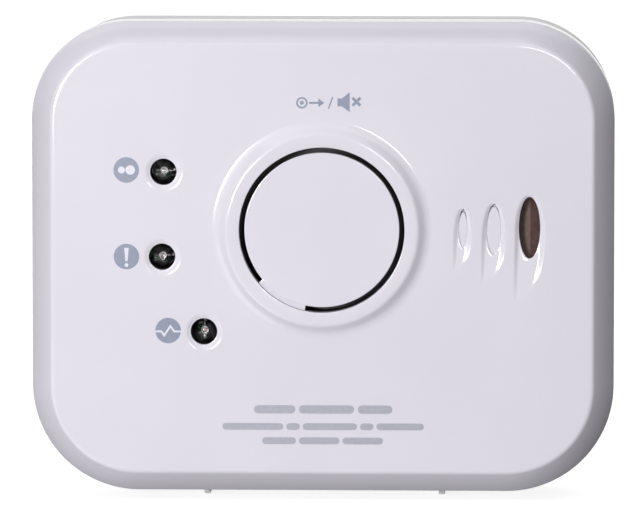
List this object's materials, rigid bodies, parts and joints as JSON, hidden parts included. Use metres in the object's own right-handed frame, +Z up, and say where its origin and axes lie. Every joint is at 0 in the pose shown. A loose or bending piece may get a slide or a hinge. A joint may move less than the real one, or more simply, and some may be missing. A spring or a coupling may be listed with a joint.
{
  "type": "carbon monoxide detector",
  "caption": "Landscape carbon monoxide detector: white rounded case, hinged test button in a raised ring, three indicator lights, scooped vents and keyholes on the back.",
  "frame": {"origin": "middle of the bottom of the bounding box, on the surface that the two runners stand on", "axes": "+X to the right seen from the front, +Y from the face towards the wall, +Z up"},
  "size_m": [0.12, 0.036, 0.099],
  "materials": {
    "gloss_white": "glossy moulded",
    "matt_white": "fine texture",
    "black_plastic": "satin",
    "rubber_seal": "soft matt",
    "brass": "satin",
    "ceramic": "matt",
    "board": "solder mask",
    "sleeve": "shrink sleeve",
    "bronze_can": "satin",
    "nickel": "satin",
    "steel": "zinc plated",
    "clear_lens": "clear",
    "label_film": "satin film",
    "print_grey": "pad print"
  },
  "bodies": {
    "case": {"front_cover": "gloss_white", "rear_housing": "matt_white", "rating_label": "label_film", "sounder_horn": "black_plastic", "sounder_seal": "rubber_seal", "piezo_plate": "brass", "piezo_ceramic": "ceramic", "piezo_retainer": "black_plastic", "piezo_contact_inner": "brass", "piezo_contact_outer": "brass", "circuit_board": "board", "test_switch_body": "black_plastic", "microcontroller": "black_plastic", "storage_capacitor": "sleeve", "boost_inductor": "black_plastic", "sensor_cell": "bronze_can", "sensor_cap": "black_plastic", "sensor_lead_upper": "nickel", "sensor_lead_lower": "nickel", "led_alarm": "clear_lens", "led_fault": "clear_lens", "led_power": "clear_lens", "led_holder_alarm": "black_plastic", "led_holder_fault": "black_plastic", "led_holder_power": "black_plastic", "battery_cell_lower": "sleeve", "battery_cell_upper": "sleeve", "battery_link": "nickel", "battery_tab_positive": "nickel", "battery_tab_negative": "nickel", "activation_switch": "black_plastic", "housing_screw_1": "steel", "housing_screw_2": "steel", "housing_screw_3": "steel", "housing_screw_4": "steel", "board_screw_1": "steel", "board_screw_2": "steel", "board_screw_3": "steel"},
    "test_button": {"test_button": "gloss_white"},
    "test_switch_plunger": {"test_switch_plunger": "brass"},
    "activation_slider": {"activation_slider": "black_plastic"}
  },
  "joints": [
    {"name": "test_button_hinge", "type": "hinge", "parent": "case", "child": "test_button", "pos_m": [-0.0085, -0.0169, 0.04236], "axis": [-0.8572, 0, 0.515], "range_deg": [0, 2.5], "stiffness_Nm_per_rad": 1},
    {"name": "test_switch_plunger_slide", "type": "slide", "parent": "case", "child": "test_switch_plunger", "axis": [0, 1, 0], "range_m": [0, 0.00025]},
    {"name": "activation_slide", "type": "slide", "parent": "case", "child": "activation_slider", "axis": [1, 0, 0], "range_m": [0, 0.004]}
  ],
  "couplings": [
    {"joint": "test_switch_plunger_slide", "follows": "test_button_hinge", "m_per_rad": 0.005}
  ]
}
